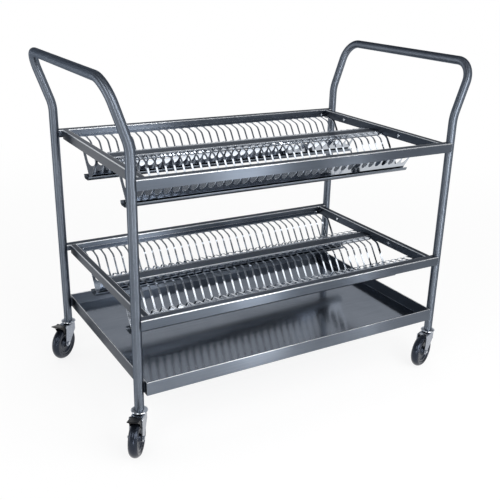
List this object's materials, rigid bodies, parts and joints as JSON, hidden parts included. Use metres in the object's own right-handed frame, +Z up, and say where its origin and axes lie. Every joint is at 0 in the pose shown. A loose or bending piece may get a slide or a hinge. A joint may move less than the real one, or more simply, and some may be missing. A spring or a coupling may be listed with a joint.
{
  "type": "plate drying trolley",
  "caption": "Stainless plate drying trolley: tiers of slotted V racks with gutters over a drip tray, bent-tube push handles at both ends, swivel casters with foot brakes.",
  "frame": {"origin": "on the floor, midway between the four legs", "axes": "+X along the length to the right, +Y to the rear, +Z up"},
  "size_m": [1.3551, 0.8278, 1.158],
  "materials": {
    "satin_tube": "satin stainless tube",
    "brushed_rail": "brushed stainless sheet",
    "bright_rack": "bright stainless sheet",
    "brushed_gutter": "brushed stainless sheet",
    "brushed_tray": "brushed stainless sheet",
    "bright_fastener": "bright plated",
    "stem_steel": "turned steel",
    "bright_cup": "bright plated pressing",
    "zinc_fork": "zinc plated pressing",
    "wheel_centre": "moulded",
    "black_tyre": "moulded rubber",
    "black_pedal": "moulded"
  },
  "bodies": {
    "frame": {"left_end_frame": "satin_tube", "right_end_frame": "satin_tube", "upper_front_rail": "brushed_rail", "upper_rear_rail": "brushed_rail", "upper_left_rail": "brushed_rail", "upper_right_rail": "brushed_rail", "upper_centre_rail": "brushed_rail", "upper_front_rack": "bright_rack", "upper_front_gutter": "brushed_gutter", "upper_rear_rack": "bright_rack", "upper_rear_gutter": "brushed_gutter", "lower_front_rail": "brushed_rail", "lower_rear_rail": "brushed_rail", "lower_left_rail": "brushed_rail", "lower_right_rail": "brushed_rail", "lower_centre_rail": "brushed_rail", "lower_front_rack": "bright_rack", "lower_front_gutter": "brushed_gutter", "lower_rear_rack": "bright_rack", "lower_rear_gutter": "brushed_gutter", "drip_tray": "brushed_tray", "tray_lugs": "brushed_rail", "rack_screws": "bright_fastener", "rack_nuts": "bright_fastener", "rail_rivets": "bright_fastener", "caster_stems": "stem_steel", "bearing_cups": "bright_cup"},
    "swivel_front_left": {"fork_front_left": "zinc_fork", "axle_bolt_front_left": "bright_fastener", "axle_nut_front_left": "bright_fastener", "axle_bush_front_left": "stem_steel", "brake_pin_front_left": "bright_fastener"},
    "wheel_front_left": {"wheel_rim_front_left": "wheel_centre", "tyre_front_left": "black_tyre"},
    "pedal_front_left": {"brake_pedal_front_left": "black_pedal"},
    "swivel_front_right": {"fork_front_right": "zinc_fork", "axle_bolt_front_right": "bright_fastener", "axle_nut_front_right": "bright_fastener", "axle_bush_front_right": "stem_steel"},
    "wheel_front_right": {"wheel_rim_front_right": "wheel_centre", "tyre_front_right": "black_tyre"},
    "swivel_rear_left": {"fork_rear_left": "zinc_fork", "axle_bolt_rear_left": "bright_fastener", "axle_nut_rear_left": "bright_fastener", "axle_bush_rear_left": "stem_steel", "brake_pin_rear_left": "bright_fastener"},
    "wheel_rear_left": {"wheel_rim_rear_left": "wheel_centre", "tyre_rear_left": "black_tyre"},
    "pedal_rear_left": {"brake_pedal_rear_left": "black_pedal"},
    "swivel_rear_right": {"fork_rear_right": "zinc_fork", "axle_bolt_rear_right": "bright_fastener", "axle_nut_rear_right": "bright_fastener", "axle_bush_rear_right": "stem_steel"},
    "wheel_rear_right": {"wheel_rim_rear_right": "wheel_centre", "tyre_rear_right": "black_tyre"}
  },
  "joints": [
    {"name": "swivel_front_left", "type": "hinge", "parent": "frame", "child": "swivel_front_left", "pos_m": [-0.596, -0.3565, 0.128], "axis": [0, 0, 1], "continuous": true},
    {"name": "roll_front_left", "type": "hinge", "parent": "swivel_front_left", "child": "wheel_front_left", "pos_m": [-0.62069, -0.39048, 0.0625], "axis": [0.809, -0.5878, 0], "continuous": true},
    {"name": "brake_front_left", "type": "hinge", "parent": "swivel_front_left", "child": "pedal_front_left", "pos_m": [-0.62186, -0.3921, 0.13], "axis": [0.809, -0.5878, 0], "range_deg": [0, 12]},
    {"name": "swivel_front_right", "type": "hinge", "parent": "frame", "child": "swivel_front_right", "pos_m": [0.596, -0.3565, 0.128], "axis": [0, 0, 1], "continuous": true},
    {"name": "roll_front_right", "type": "hinge", "parent": "swivel_front_right", "child": "wheel_front_right", "pos_m": [0.55706, -0.37223, 0.0625], "axis": [0.3746, -0.9272, 0], "continuous": true},
    {"name": "swivel_rear_left", "type": "hinge", "parent": "frame", "child": "swivel_rear_left", "pos_m": [-0.596, 0.3565, 0.128], "axis": [0, 0, 1], "continuous": true},
    {"name": "roll_rear_left", "type": "hinge", "parent": "swivel_rear_left", "child": "wheel_rear_left", "pos_m": [-0.62817, 0.3295, 0.0625], "axis": [0.6428, -0.766, 0], "continuous": true},
    {"name": "brake_rear_left", "type": "hinge", "parent": "swivel_rear_left", "child": "pedal_rear_left", "pos_m": [-0.62971, 0.32822, 0.13], "axis": [0.6428, -0.766, 0], "range_deg": [0, 12]},
    {"name": "swivel_rear_right", "type": "hinge", "parent": "frame", "child": "swivel_rear_right", "pos_m": [0.596, 0.3565, 0.128], "axis": [0, 0, 1], "continuous": true},
    {"name": "roll_rear_right", "type": "hinge", "parent": "swivel_rear_right", "child": "wheel_rear_right", "pos_m": [0.55892, 0.33678, 0.0625], "axis": [0.4695, -0.8829, 0], "continuous": true}
  ]
}
